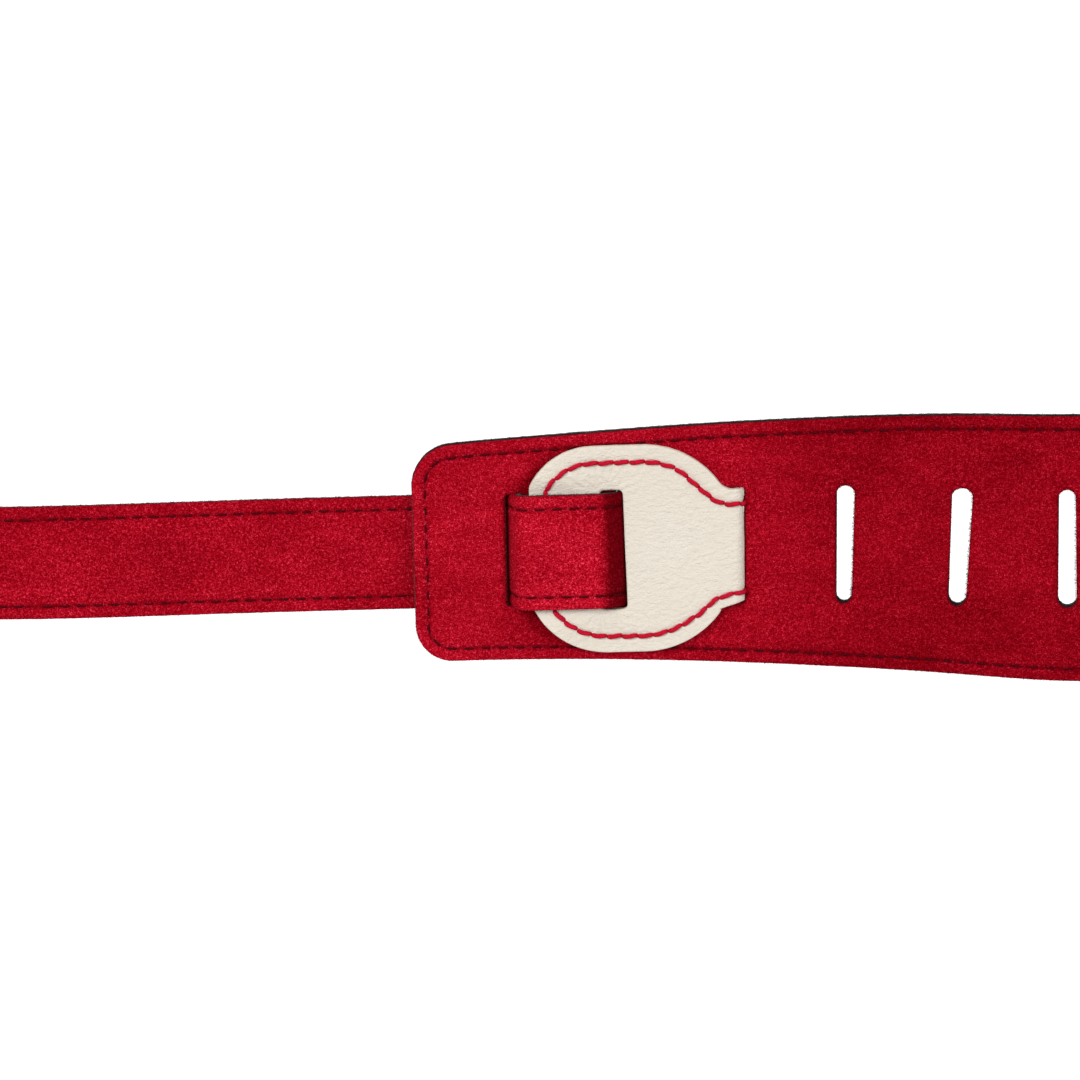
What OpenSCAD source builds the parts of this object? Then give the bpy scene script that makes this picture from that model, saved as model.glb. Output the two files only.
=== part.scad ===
// A guitar strap: a wide suede band with a ladder of slots, a narrow suede tail woven through
// three of them, and a soft leather lock tab that holds the weave. Everything is measured along
// the strap from the slotted end of the band (s = 0), with +Y across it and +Z out of its face.

/* [Band] */
// Length of the wide band without its button tab
band_length = 800; // [760:10:900]
// Full width of the band
band_width = 70; // [60:1:80]
// Width of the band at its slotted end
slotted_end_width = 58; // [50:1:66]
// Width of the band where it rounds into its button tab
button_end_width = 44; // [38:1:54]
// Corner radius of the slotted end
end_corner_r = 9.5; // [6:0.5:14]
// Thickness of the suede face
face_t = 1.3; // [1:0.1:1.6]
// Thickness of the core between face and backing
core_t = 0.8; // [0.6:0.1:1.2]
// Thickness of the backing
backing_t = 1.5; // [1.2:0.1:2]

/* [Slots] */
// Number of slots
slot_count = 9; // [7:1:9]
// Distance from one slot to the next
slot_pitch = 28.5; // [28:0.5:30]
// Distance of the first slot from the end of the band
first_slot = 26.5; // [24:0.5:30]
// Length of a slot across the band
slot_length = 32; // [32:0.5:34]
// Width of a slot along the band
slot_width = 5.2; // [5.2:0.1:6]
// Corner radius of a slot
slot_corner_r = 1.5; // [1:0.1:1.5]

/* [Tail] */
// Width of the tail
tail_width = 30; // [28:0.5:30]
// Length of the tail outside the band, without its button tab
tail_length = 360; // [300:10:420]
// Thickness of the tail's suede face
tail_face_t = 1.0; // [0.8:0.1:1]
// Thickness of the reinforcing tape inside the tail
tail_tape_t = 0.4; // [0.4:0.1:0.6]
// Thickness of the tail's backing
tail_backing_t = 1.0; // [0.8:0.1:1]

/* [Lock tab] */
// Thickness of each of its two leather plies
lock_ply_t = 1.1; // [1:0.1:1.1]
// Width of the neck that passes through a slot
neck_width = 30.4; // [28:0.2:30.4]
// Distance from the neck's slot to the far end of the head
head_reach = 53.2; // [50:0.2:53.2]
// Half the width of the head
head_half_width = 27.2; // [24:0.2:30]

/* [Button tabs] */
// Free length of each button tab
button_tab_length = 42; // [36:1:50]
// Width of the band's button tab
band_tab_width = 30; // [26:1:34]
// Width of the tail's button tab
tail_tab_width = 26; // [22:1:28]
// Radius of the button hole
button_hole_r = 4.0; // [3.5:0.25:5]
// Distance of the button hole from the tip
button_hole_setback = 17; // [13:1:20]
// Length of the slit that lets the button in
button_slit_length = 12; // [8:1:14]

/* [Seams] */
// Distance of the band's seam from its edge
band_seam_inset = 3.7; // [3:0.1:5]
// Distance of the tail's seam from its edge
tail_seam_inset = 3.4; // [2.5:0.1:5]
// Distance of the lock tab's and button tabs' seams from their edges
tab_seam_inset = 4.3; // [3:0.1:5]
// Width of a thread
thread_w = 0.7; // [0.5:0.05:0.8]

/* [Hidden] */

suede_red = [0.66, 0.05, 0.12];
core_black = [0.10, 0.09, 0.09];
backing_black = [0.07, 0.06, 0.06];
thread_dark = [0.30, 0.03, 0.06];
thread_red = [0.62, 0.02, 0.08];
leather_cream = [0.93, 0.89, 0.83];

past_end = 5;  // cutting shapes run on this far past the strap's ends

// Lines across the strap where it flexes, and the lengths between them
band_flex = [395, 520, 645];
band_parts = [[-past_end, 395], [395, 520], [520, 645], [645, band_length + past_end]];
tail_flex = [-14, -185];
tail_parts = [[-14, 100], [-185, -14], [-tail_length - past_end, -185]];
flex_half_angle = 30;  // a flex line opens and closes by twice this each way
flex_clearance = 0.1;

// The band lies above the woven tail near its slots and comes down to the ground behind them
band_t = face_t + core_t + backing_t;
deck_z = 3.8;
deck_end = 275;
deck_slope_length = 70;
core_setback = 1;
straight_end = 15;      // the slotted end keeps its width this far
front_taper_end = 185;  // and the band has its full width from here
rear_taper_start = 640;
rear_r = button_end_width / 2;
slope_steps = 14;
taper_steps = 12;
reach = 100;  // wider than the whole strap

slot_a = first_slot;
slot_b = first_slot + slot_pitch;
slot_c = first_slot + 2 * slot_pitch;
band_top = deck_z + band_t;

// The tail's middle line: along the ground, up slot A, over the lock tab, down slot B
tail_t = tail_face_t + tail_tape_t + tail_backing_t;
tail_low_z = tail_t / 2;
bridge_z = 11.0;
landing_z = 1.8;
rise_angle = 68;
fall_angle = 65;
rise_shift = 0.306;   // middle line past slot A's centre at the band's top
fall_shift = -1.153;  // and past slot B's centre
bend_in_r = 3.2;
bridge_rise_r = 2.7;
bridge_fall_r = 3.2;
bend_out_r = 3.0;
tail_lap_start = slot_b + 3.4;  // from here the tail is pared down between the lock tab's plies
tail_lap_end = slot_b + 22;
lap_low_z = lock_ply_t;
lap_high_z = 2.5;
tail_corner_r = 4;

// The lock tab's fold through slot C
lock_mid_x = slot_c + 1.0;
lock_bend_r = 2.2;
lock_low_z = 1.8;
lock_head_z = 8.6;
lock_merge = slot_b + 24;
window_left = slot_b - 6.6;
window_right = slot_b + 0.35;
window_right_top = slot_b - 0.7;
window_half = 15.9;
head_z = 7.4;
neck_x = -2.6;
rear_arc = [-32.5, 4.5];
front_arc = [-24, 3];
front_arc_end = 34.5;

groove_w = thread_w + 0.2;
thread_depth = 0.3;
thread_sink = 0.05;
tab_t = 2 * lock_ply_t;
tongue_length = 20;
fit_gap = 0.2;
tongue_side_gap = 0.5;   // the tongue is narrower than its tab by this on each side
tongue_end_gap = 0.5;    // and stops this short of the core or tape it replaces
slit_half = 0.45;
button_seam_stop = 1.5;  // a button tab's seam stops this far from the strap's end
neck_seam_inset = tab_seam_inset - 1;
join_stitch_width = 23;  // the two rows that sew the lock tab to the tail
join_stitch_in = [4, 3]; // their distances from the two ends of the lap
past_neck = 5;           // the head's plan runs on this far past slot C

origin_s = (band_length - tail_length) / 2;

function smooth(t) = let (u = min(1, max(0, t))) u * u * (3 - 2 * u);
function reverse(v) = [for (i = [len(v) - 1:-1:0]) v[i]];
function mirrored(v) = [for (p = reverse(v)) [p[0], -p[1]]];
function arc(c, r, from, to, n = 8) =
    [for (i = [0:n]) let (a = from + (to - from) * i / n) [c[0] + r * cos(a), c[1] + r * sin(a)]];
function slot_s(i) = first_slot + i * slot_pitch;

// Height of the band's underside, and half its width, at s
function deck(s) = deck_z * (1 - smooth((s - deck_end) / deck_slope_length));
function band_half(s) =
    (slotted_end_width + (band_width - slotted_end_width)
        * smooth((s - straight_end) / (front_taper_end - straight_end))
        - (band_width - button_end_width)
        * smooth((s - rear_taper_start) / (band_length - rear_r - rear_taper_start))) / 2;
band_stations = concat(
    [for (i = [0:taper_steps]) straight_end + i * (front_taper_end - straight_end) / taper_steps],
    [for (i = [0:taper_steps])
        rear_taper_start + i * (band_length - rear_r - rear_taper_start) / taper_steps]);
function band_upper_edge(inset) = concat(
    arc([end_corner_r, slotted_end_width / 2 - end_corner_r], end_corner_r - inset, 180, 90),
    [for (s = band_stations) [s, band_half(s) - inset]],
    arc([band_length - rear_r, 0], rear_r - inset, 84, 0, 14));
module band_outline(inset = 0) {
    edge = band_upper_edge(inset);
    polygon(concat(edge, mirrored(edge)));
}

// A profile drawn as [s, z] and run across the strap
module across(width) rotate([90, 0, 0]) linear_extrude(width, center = true) children();
module slab(from, to, low, high, width = reach)
    translate([from, -width / 2, low]) cube([to - from, width, high - low]);

// Everything is drawn along s and then moved so that the origin is under the strap's middle
module placed() translate([-origin_s, 0, 0]) children();

// The hourglass gap at a flex line, wide enough for the two sides to close on each other
module flex_gap(s, z, t) {
    h = t / 2 + 0.6;
    half = flex_clearance + h * tan(flex_half_angle) + 0.05;
    across(reach) polygon([
        [s - half, z + h], [s + half, z + h], [s + flex_clearance, z],
        [s + half, z - h], [s - half, z - h], [s - flex_clearance, z]]);
}

/* Band layers */
module band_profile(low, high) {
    stations = concat([-past_end], [for (i = [0:slope_steps]) deck_end + i * deck_slope_length / slope_steps],
        [band_length + past_end]);
    across(reach) polygon(concat(
        [for (s = stations) [s, deck(s) + low]], [for (s = reverse(stations)) [s, deck(s) + high]]));
}
module slot_shape() {
    square([slot_width, slot_length - 2 * slot_corner_r], center = true);
    square([slot_width - 2 * slot_corner_r, slot_length], center = true);
    for (x = [-1, 1], y = [-1, 1])
        translate([x * (slot_width / 2 - slot_corner_r), y * (slot_length / 2 - slot_corner_r)])
            circle(r = slot_corner_r, $fn = 48);
}
module slot_cuts() for (i = [0:slot_count - 1])
    translate([slot_s(i), 0, -1]) linear_extrude(band_top + 2) slot_shape();
module band_seam_ring(w) translate([0, 0, -1]) linear_extrude(band_top + 2) difference() {
    band_outline(band_seam_inset - w / 2);
    band_outline(band_seam_inset + w / 2);
}
module band_part(part, low, high, inset = 0) difference() {
    intersection() {
        band_profile(low, high);
        translate([0, 0, -1]) linear_extrude(band_top + 2) band_outline(inset);
        slab(band_parts[part][0], band_parts[part][1], -1, band_top + 1);
    }
    if (part == 0) slot_cuts();
    for (s = band_flex) if (s >= band_parts[part][0] && s <= band_parts[part][1])
        flex_gap(s, band_t / 2, band_t);
}
module band_groove(low, high) intersection() {
    band_profile(low, high);
    band_seam_ring(groove_w);
}
module band_face(part) color(suede_red) placed() difference() {
    band_part(part, backing_t + core_t, band_t);
    band_groove(band_t - thread_depth, band_t + 1);
}
module band_core(part) color(core_black) placed() difference() {
    band_part(part, backing_t, backing_t + core_t, core_setback);
    if (part == 3) slab(band_length - tongue_length - tongue_end_gap, band_length + past_end, -1, band_t + 1,
        band_tab_width + 2 * fit_gap);
}
module band_backing(part) color(backing_black) placed() difference() {
    band_part(part, 0, backing_t);
    band_groove(-1, thread_depth);
}
module band_thread(part) color(thread_dark) placed() difference() {
    intersection() {
        union() {
            band_profile(band_t - thread_depth, band_t - thread_sink);
            band_profile(thread_sink, thread_depth);
        }
        band_seam_ring(thread_w);
        slab(band_parts[part][0], band_parts[part][1], -1, band_top + 1);
    }
    for (s = band_flex) if (s >= band_parts[part][0] && s <= band_parts[part][1])
        flex_gap(s, band_t / 2, band_t);
}

/* Tail layers */
rise_foot = slot_a + rise_shift - (band_top - tail_low_z) / tan(rise_angle);
rise_top = slot_a + rise_shift + (bridge_z - band_top) / tan(rise_angle);
fall_top = slot_b + fall_shift - (bridge_z - band_top) / tan(fall_angle);
fall_foot = slot_b + fall_shift + (band_top - landing_z) / tan(fall_angle);
bend_in_c = [rise_foot - bend_in_r * tan(rise_angle / 2), tail_low_z + bend_in_r];
bridge_rise_c = [rise_top + bridge_rise_r * tan(rise_angle / 2), bridge_z - bridge_rise_r];
bridge_fall_c = [fall_top - bridge_fall_r * tan(fall_angle / 2), bridge_z - bridge_fall_r];
bend_out_c = [fall_foot + bend_out_r * tan(fall_angle / 2), landing_z + bend_out_r];

// A line d above the tail's middle line, from its far end to the lap inside the lock tab
function tail_line(d) = concat(
    [[-tail_length - past_end, tail_low_z + d]],
    arc(bend_in_c, bend_in_r - d, -90, rise_angle - 90),
    arc(bridge_rise_c, bridge_rise_r + d, rise_angle + 90, 90),
    arc(bridge_fall_c, bridge_fall_r + d, 90, 90 - fall_angle),
    arc(bend_out_c, bend_out_r - d, -90 - fall_angle, -90),
    [[tail_lap_end, landing_z + d]]);
module tail_profile(low, high) across(reach) polygon(concat(
    tail_line(low - tail_t / 2), reverse(tail_line(high - tail_t / 2))));
module tail_outline(inset = 0) {
    end = -tail_length + inset;
    edge = concat(
        arc([-tail_length + tail_corner_r, tail_width / 2 - tail_corner_r], tail_corner_r - inset, 180, 90),
        [[tail_lap_end + past_end, tail_width / 2 - inset]]);
    polygon(concat(edge, mirrored(edge)));
}
module tail_seam_lines(w) translate([0, 0, -1]) linear_extrude(bridge_z + tail_t) {
    for (side = [-1, 1]) translate([-tail_length + tail_seam_inset - w / 2,
        side * (tail_width / 2 - tail_seam_inset) - w / 2]) square([tail_length + tail_lap_start, w]);
    translate([-tail_length + tail_seam_inset - w / 2, -tail_width / 2 + tail_seam_inset])
        square([w, tail_width - 2 * tail_seam_inset]);
}
module tail_part(part, low, high) difference() {
    intersection() {
        tail_profile(low, high);
        translate([0, 0, -1]) linear_extrude(bridge_z + tail_t) tail_outline();
        slab(tail_parts[part][0], tail_parts[part][1], -1, bridge_z + tail_t);
    }
    for (s = tail_flex) if (s >= tail_parts[part][0] && s <= tail_parts[part][1])
        flex_gap(s, tail_low_z, tail_t);
    if (part == 0) {
        slab(tail_lap_start, tail_lap_end + past_end, -1, lap_low_z);
        slab(tail_lap_start, tail_lap_end + past_end, lap_high_z, deck_z);
    }
}
module tail_groove(low, high) intersection() {
    tail_profile(low, high);
    tail_seam_lines(groove_w);
}
module tail_face(part) color(suede_red) placed() difference() {
    tail_part(part, tail_t - tail_face_t, tail_t);
    tail_groove(tail_t - thread_depth, tail_t + 0.5);
}
module tail_tape(part) color(core_black) placed() difference() {
    tail_part(part, tail_backing_t, tail_backing_t + tail_tape_t);
    if (part == 2) slab(-tail_length - past_end, -tail_length + tongue_length + tongue_end_gap, -1,
        tail_t + 1, tail_tab_width + 2 * fit_gap);
}
module tail_backing(part) color(backing_black) placed() difference() {
    tail_part(part, 0, tail_backing_t);
    tail_groove(-0.5, thread_depth);
}
module tail_thread(part) color(thread_dark) placed() difference() {
    intersection() {
        union() {
            tail_profile(tail_t - thread_depth, tail_t - thread_sink);
            tail_profile(thread_sink, thread_depth);
        }
        tail_seam_lines(thread_w);
        slab(tail_parts[part][0], min(tail_parts[part][1], tail_lap_start - 0.2), -1, bridge_z + tail_t);
    }
    for (s = tail_flex) if (s >= tail_parts[part][0] && s <= tail_parts[part][1])
        flex_gap(s, tail_low_z, tail_t);
}

/* Lock tab */
// A line d outside the fold between the two plies, from under the band to the head's far end
function lock_line(d) = concat(
    arc([lock_mid_x - lock_bend_r, lock_low_z + lock_bend_r], lock_bend_r + d, -90, 0),
    arc([lock_mid_x - lock_bend_r, lock_head_z - lock_bend_r], lock_bend_r + d, 0, 90),
    [[slot_c - head_reach, lock_head_z + d]]);
// The same, started from where the ply lies above or below the tail's pared end
function lock_ply_edge(d, lap_z) = concat(
    [[tail_lap_start + 0.1, lap_z], [tail_lap_end, lap_z], [lock_merge, lock_low_z - d]], lock_line(d));
module lock_profile(outer, inner) across(reach) polygon(concat(outer, reverse(inner)));

function head_upper_edge(inset) = let (
        left = head_reach - inset,
        r = head_half_width - rear_arc[1] - inset,
        start = acos((left + rear_arc[0]) / r)) concat(
    arc([slot_c + rear_arc[0], rear_arc[1]], r, 180 - start, 90),
    arc([slot_c + front_arc[0], front_arc[1]], head_half_width - front_arc[1] - inset, 90, front_arc_end),
    [for (x = [neck_x, past_neck]) [slot_c + x, neck_width / 2 - max(0, inset - 1)]]);
module head_outline(inset = 0) {
    edge = head_upper_edge(inset);
    polygon(concat(edge, mirrored(edge)));
}
module lock_plan() {
    translate([0, 0, head_z]) linear_extrude(bridge_z) head_outline();
    slab(slot_b, slot_c + past_neck, -1, head_z, neck_width);
}
module window_cut() across(2 * window_half) polygon([
    [window_left, head_z - 1], [window_right, head_z - 1], [window_right, head_z],
    [window_right_top, lock_head_z + lock_ply_t + 0.1], [window_right_top, bridge_z],
    [window_left, bridge_z]]);
module past_neck_end() translate([slot_c + past_neck - 1, -reach / 2]) square(reach);
// Where the seam runs: round the head and down both edges of the neck
module lock_seam_lines(w) {
    translate([0, 0, head_z]) linear_extrude(bridge_z) difference() {
        head_outline(tab_seam_inset - w / 2);
        difference() {
            head_outline(tab_seam_inset + w / 2);
            past_neck_end();
        }
        past_neck_end();
    }
    for (side = [-1, 1]) translate([0, side * (neck_width / 2 - neck_seam_inset), 0])
        slab(lock_merge + 1, slot_c + past_neck, -1, head_z, w);
    for (s = [tail_lap_start + join_stitch_in[0], tail_lap_end - join_stitch_in[1]])
        slab(s - w / 2, s + w / 2, -1, deck_z, join_stitch_width);
}
module lock_shell(from, to) lock_profile(
    lock_ply_edge(lock_ply_t - from, from), lock_ply_edge(lock_ply_t - to, to));
module lock_tab_front() color(leather_cream) placed() difference() {
    intersection() {
        lock_profile(lock_ply_edge(lock_ply_t, 0), lock_ply_edge(0, lock_ply_t));
        lock_plan();
    }
    window_cut();
    intersection() {
        lock_shell(-0.5, thread_depth);
        lock_seam_lines(groove_w);
    }
}
module lock_tab_lining() color(leather_cream) placed() difference() {
    intersection() {
        lock_profile(lock_ply_edge(0, lap_high_z), lock_ply_edge(-lock_ply_t, lap_high_z + lock_ply_t));
        lock_plan();
    }
    window_cut();
}
module lock_tab_stitching() color(thread_red) placed() intersection() {
    lock_shell(thread_sink, thread_depth);
    lock_seam_lines(thread_w);
}

/* Button tabs, drawn with the tip at u = 0 and the strap at negative u */
module button_tab_outline(width, inset = 0) {
    translate([-width / 2, 0]) circle(r = width / 2 - inset, $fn = 96);
    translate([-button_tab_length - tongue_length, -width / 2 + inset])
        square([button_tab_length + tongue_length - width / 2, width - 2 * inset]);
}
module keyhole() translate([-button_hole_setback, 0, -1]) {
    cylinder(r = button_hole_r, h = tab_t + 4, $fn = 96);
    translate([-button_hole_r - button_slit_length, -slit_half, 0])
        cube([button_hole_r + button_slit_length, 2 * slit_half, tab_t + 4]);
}
module button_seam(width, w) difference() {
    button_tab_outline(width, tab_seam_inset - w / 2);
    button_tab_outline(width, tab_seam_inset + w / 2);
    translate([-reach - button_tab_length + button_seam_stop, -reach / 2]) square(reach);
}
// One ply: full thickness outside the strap's end, a thin tongue between the strap's layers
module button_tab_ply(width, low, tongue_low, tongue_t) difference() {
    union() {
        difference() {
            translate([0, 0, low]) linear_extrude(lock_ply_t) button_tab_outline(width);
            children();
        }
        translate([0, 0, tongue_low]) linear_extrude(tongue_t) intersection() {
            button_tab_outline(width);
            translate([-button_tab_length - tongue_length, -width / 2 + tongue_side_gap])
                square([tongue_length + 4, width - 2 * tongue_side_gap]);
        }
    }
    keyhole();
}
module button_groove(width, low, high) translate([0, 0, low]) linear_extrude(high - low)
    button_seam(width, groove_w);

band_tab_low = (band_t - tab_t) / 2 + 0.1;
band_tab_mid = band_tab_low + lock_ply_t;
tail_tab_low = (tail_t - tab_t) / 2;
tail_tab_mid = tail_tab_low + lock_ply_t;

module at_band_tab() placed() translate([band_length + button_tab_length, 0, 0]) children();
module at_tail_tab() placed() mirror([1, 0, 0])
    translate([tail_length + button_tab_length, 0, 0]) children();
module band_end_space() translate([-band_length - button_tab_length, 0, -1])
    linear_extrude(band_t + 2) band_outline(-fit_gap);
module tail_end_space() mirror([1, 0, 0]) translate([tail_length + button_tab_length, 0, -1])
    linear_extrude(tail_t + 2) tail_outline(-fit_gap);

module band_tab_front() color(leather_cream) at_band_tab() difference() {
    button_tab_ply(band_tab_width, band_tab_mid, band_tab_mid, backing_t + core_t - band_tab_mid)
        band_end_space();
    button_groove(band_tab_width, band_tab_low + tab_t - thread_depth, band_t);
}
module band_tab_lining() color(leather_cream) at_band_tab()
    button_tab_ply(band_tab_width, band_tab_low, backing_t, band_tab_mid - backing_t) band_end_space();
module band_tab_stitching() color(thread_red) at_band_tab()
    translate([0, 0, band_tab_low + tab_t - thread_depth]) linear_extrude(thread_depth - thread_sink)
        button_seam(band_tab_width, thread_w);
module tail_tab_front() color(leather_cream) at_tail_tab() difference() {
    button_tab_ply(tail_tab_width, tail_tab_mid, tail_tab_mid,
        tail_backing_t + tail_tape_t - tail_tab_mid) tail_end_space();
    button_groove(tail_tab_width, tail_tab_low + tab_t - thread_depth, tail_t + 1);
}
module tail_tab_lining() color(leather_cream) at_tail_tab()
    button_tab_ply(tail_tab_width, tail_tab_low, tail_backing_t, tail_tab_mid - tail_backing_t)
        tail_end_space();
module tail_tab_stitching() color(thread_red) at_tail_tab()
    translate([0, 0, tail_tab_low + tab_t - thread_depth]) linear_extrude(thread_depth - thread_sink)
        button_seam(tail_tab_width, thread_w);

band_face(0);  // band_front_face
band_core(0);  // band_front_core
band_backing(0);  // band_front_backing
band_thread(0);  // band_front_thread
band_face(1);  // band_shoulder_a_face
band_core(1);  // band_shoulder_a_core
band_backing(1);  // band_shoulder_a_backing
band_thread(1);  // band_shoulder_a_thread
band_face(2);  // band_shoulder_b_face
band_core(2);  // band_shoulder_b_core
band_backing(2);  // band_shoulder_b_backing
band_thread(2);  // band_shoulder_b_thread
band_face(3);  // band_rear_face
band_core(3);  // band_rear_core
band_backing(3);  // band_rear_backing
band_thread(3);  // band_rear_thread
band_tab_front();
band_tab_lining();
band_tab_stitching();
tail_face(0);  // tail_weave_face
tail_tape(0);  // tail_weave_tape
tail_backing(0);  // tail_weave_backing
tail_thread(0);  // tail_weave_thread
tail_face(1);  // tail_mid_face
tail_tape(1);  // tail_mid_tape
tail_backing(1);  // tail_mid_backing
tail_thread(1);  // tail_mid_thread
tail_face(2);  // tail_end_face
tail_tape(2);  // tail_end_tape
tail_backing(2);  // tail_end_backing
tail_thread(2);  // tail_end_thread
tail_tab_front();
tail_tab_lining();
tail_tab_stitching();
lock_tab_front();
lock_tab_lining();
lock_tab_stitching();
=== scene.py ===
import math
import bpy
import numpy as np
from mathutils import Matrix, Vector
from mathutils.geometry import delaunay_2d_cdt
from mathutils.kdtree import KDTree


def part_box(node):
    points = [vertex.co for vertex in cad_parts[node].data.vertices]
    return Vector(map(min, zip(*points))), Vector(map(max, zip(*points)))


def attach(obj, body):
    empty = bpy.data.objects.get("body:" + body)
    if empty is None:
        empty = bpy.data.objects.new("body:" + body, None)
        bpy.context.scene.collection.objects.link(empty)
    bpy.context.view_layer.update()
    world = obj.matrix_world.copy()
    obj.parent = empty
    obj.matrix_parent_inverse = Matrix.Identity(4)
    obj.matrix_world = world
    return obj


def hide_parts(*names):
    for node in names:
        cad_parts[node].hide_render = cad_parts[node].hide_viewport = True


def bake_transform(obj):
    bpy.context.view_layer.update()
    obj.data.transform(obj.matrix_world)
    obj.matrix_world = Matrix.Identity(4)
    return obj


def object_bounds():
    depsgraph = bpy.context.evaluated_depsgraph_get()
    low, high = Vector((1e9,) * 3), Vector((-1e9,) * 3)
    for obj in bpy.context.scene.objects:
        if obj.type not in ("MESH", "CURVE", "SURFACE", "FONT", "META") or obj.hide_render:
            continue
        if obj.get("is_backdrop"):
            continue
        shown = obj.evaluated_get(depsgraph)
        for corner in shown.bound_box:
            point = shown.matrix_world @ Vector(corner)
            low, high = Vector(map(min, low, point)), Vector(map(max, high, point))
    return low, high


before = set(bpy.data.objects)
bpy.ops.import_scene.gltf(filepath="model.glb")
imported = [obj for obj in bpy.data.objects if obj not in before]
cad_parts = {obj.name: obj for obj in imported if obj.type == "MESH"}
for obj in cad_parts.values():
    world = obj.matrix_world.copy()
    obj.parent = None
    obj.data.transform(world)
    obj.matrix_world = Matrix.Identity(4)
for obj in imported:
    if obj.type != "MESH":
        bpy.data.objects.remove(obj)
CAD_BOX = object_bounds()

# Lengths are in millimetres, measured along the strap from the slotted end of the band (s), across it (y)
# and up from the ground (z). to_frame() turns them into the frame's metres.
MM = 0.001
ORIGIN_S = -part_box("band_front_face")[0].x / MM
BAND_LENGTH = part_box("band_rear_face")[1].x / MM + ORIGIN_S
TAIL_LENGTH = -(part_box("tail_end_face")[0].x / MM + ORIGIN_S)
BAND_TAB_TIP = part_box("band_tab_front")[1].x / MM + ORIGIN_S
TAIL_TAB_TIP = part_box("tail_tab_front")[0].x / MM + ORIGIN_S

# Band
BAND_HALF = 35.0
SLOTTED_HALF = 29.0
BUTTON_HALF = 22.0
END_CORNER_R = 9.5
TAPER = (15.0, 185.0, 640.0)
FACE_T, CORE_T, BACKING_T = 1.3, 0.8, 1.5
BAND_T = FACE_T + CORE_T + BACKING_T
DECK_Z, DECK_END, DECK_SLOPE = 3.8, 275.0, 70.0
SLOT_FIRST, SLOT_PITCH, SLOT_COUNT = 26.5, 28.5, 9
SLOT_HALF_WIDTHS = (2.2, 2.6, 2.15, 2.25, 2.6, 2.4, 2.6, 2.6, 2.6)
SLOT_HALF_LENGTHS = (14.8, 15.05, 15.1, 15.6, 15.6, 15.6, 16.0, 16.0, 16.0)
# How unevenly the empty slots are cut: narrower below, leaning, and off to one side and along
SLOT_CUTS = {3: (0.08, 0.27, -0.5, -0.15), 4: (0.09, 0.6, 0.65, -0.35), 5: (-0.05, -0.3, -0.2, 0.2)}
LAST_STEP = 6
BAND_FLEX = (395.0, 520.0, 645.0)
BAND_CUTS = (457.5, 582.5)
SEAM_INSET, SEAM_PITCH, SEAM_STITCH = 3.3, 4.45, 3.3

# Tail
TAIL_HALF = 15.0
TAIL_FACE_T, TAIL_TAPE_T, TAIL_BACKING_T = 1.0, 0.4, 1.0
TAIL_T = TAIL_FACE_T + TAIL_TAPE_T + TAIL_BACKING_T
TAIL_LOW_Z, BRIDGE_Z, LANDING_Z = 1.2, 11.0, 1.8
RISE_ANGLE, FALL_ANGLE = 68.0, 65.0
RISE_SHIFT, FALL_SHIFT = 0.306, -1.153
TAIL_BENDS = (3.2, 2.7, 6.3, 3.0)
TAIL_FLEX = (-14.0, -185.0)
TAIL_CUT = -99.5
TAIL_SEAM_INSET = 3.4

SLOT_A, SLOT_B, SLOT_C = (SLOT_FIRST + SLOT_PITCH * i for i in range(3))
BAND_TOP = DECK_Z + BAND_T
LAP_START, LAP_END = SLOT_B + 3.4, SLOT_B + 22.0

# Lock tab, whose flat pattern has u = 0 at the head's far end
PLY_T = 1.1
HEAD_LEFT = SLOT_C - 53.2
HEAD_HALF = 27.2
HEAD_REAR_ARCS, HEAD_FRONT_ARC = {1: (-37.3, 9.7), -1: (-32.5, 4.5)}, (-24.0, 3.0)
HEAD_Z, FOLD_R, FOLD_X, FOLD_LOW_Z = 8.6, 1.4, SLOT_C + 1.0, 1.8
WINDOW_LEFT, WINDOW_HALF = SLOT_B - 6.6, 15.7
WINDOW_RIGHT_TOP, WINDOW_RIGHT_BOTTOM = SLOT_B - 0.75, SLOT_B + 0.05
LOCK_SEAM_INSET, LOCK_PITCH, LOCK_STITCH, SEAM_PAST_NECK = 4.3, 4.0, 4.5, 9.0

# Button tabs
BAND_TAB_HALF, TAIL_TAB_HALF = 15.0, 13.0
HOLE_R, HOLE_SETBACK, SLIT_LENGTH, SLIT_HALF = 4.0, 17.0, 12.0, 0.4
TONGUE = 20.0

# The white floor is far enough down to be out of the strap's shadow, and never in front of it
FLOOR_Z = -4.5

# The tail lies this far to one side outside the band, and comes straight by the second number
TAIL_ASIDE, TAIL_ASIDE_END = 0.8, 14.0
# The first slot is cut this far towards the end of the band, and the head's free rim stands up this much
FIRST_SLOT_BACK, HEAD_LIFT = 0.4, 1.4
# How far each way from its flex line a bend would reach; across_flex doesn't bend the pieces. The tail's
# bodies follow one another leftwards.
BAND_REACH, TAIL_REACHES = 26.0, (-11.0, -22.0)

# The stretch of strap that is seen close up gets the finer meshes
NEAR = (-112.0, 178.0)


def smooth(t):
    t = np.clip(t, 0.0, 1.0)
    return t * t * (3 - 2 * t)


def bend_aside(s):
    """The strap doesn't lie perfectly straight: how far it strays to one side at s."""
    return (1.3 * np.exp(-(((s - 85) / 75) ** 2)) - 1.2 * np.exp(-(((s + 105) / 55) ** 2))
            - 1.6 * np.exp(-(((s - 172) / 30) ** 2)))


def to_frame(s, y, z):
    """Frame coordinates in metres from s, y and z arrays in millimetres."""
    s, y, z = np.broadcast_arrays(np.asarray(s, float), np.asarray(y, float), np.asarray(z, float))
    return np.stack([s - ORIGIN_S, y + bend_aside(s), z], axis=-1) * MM


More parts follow.
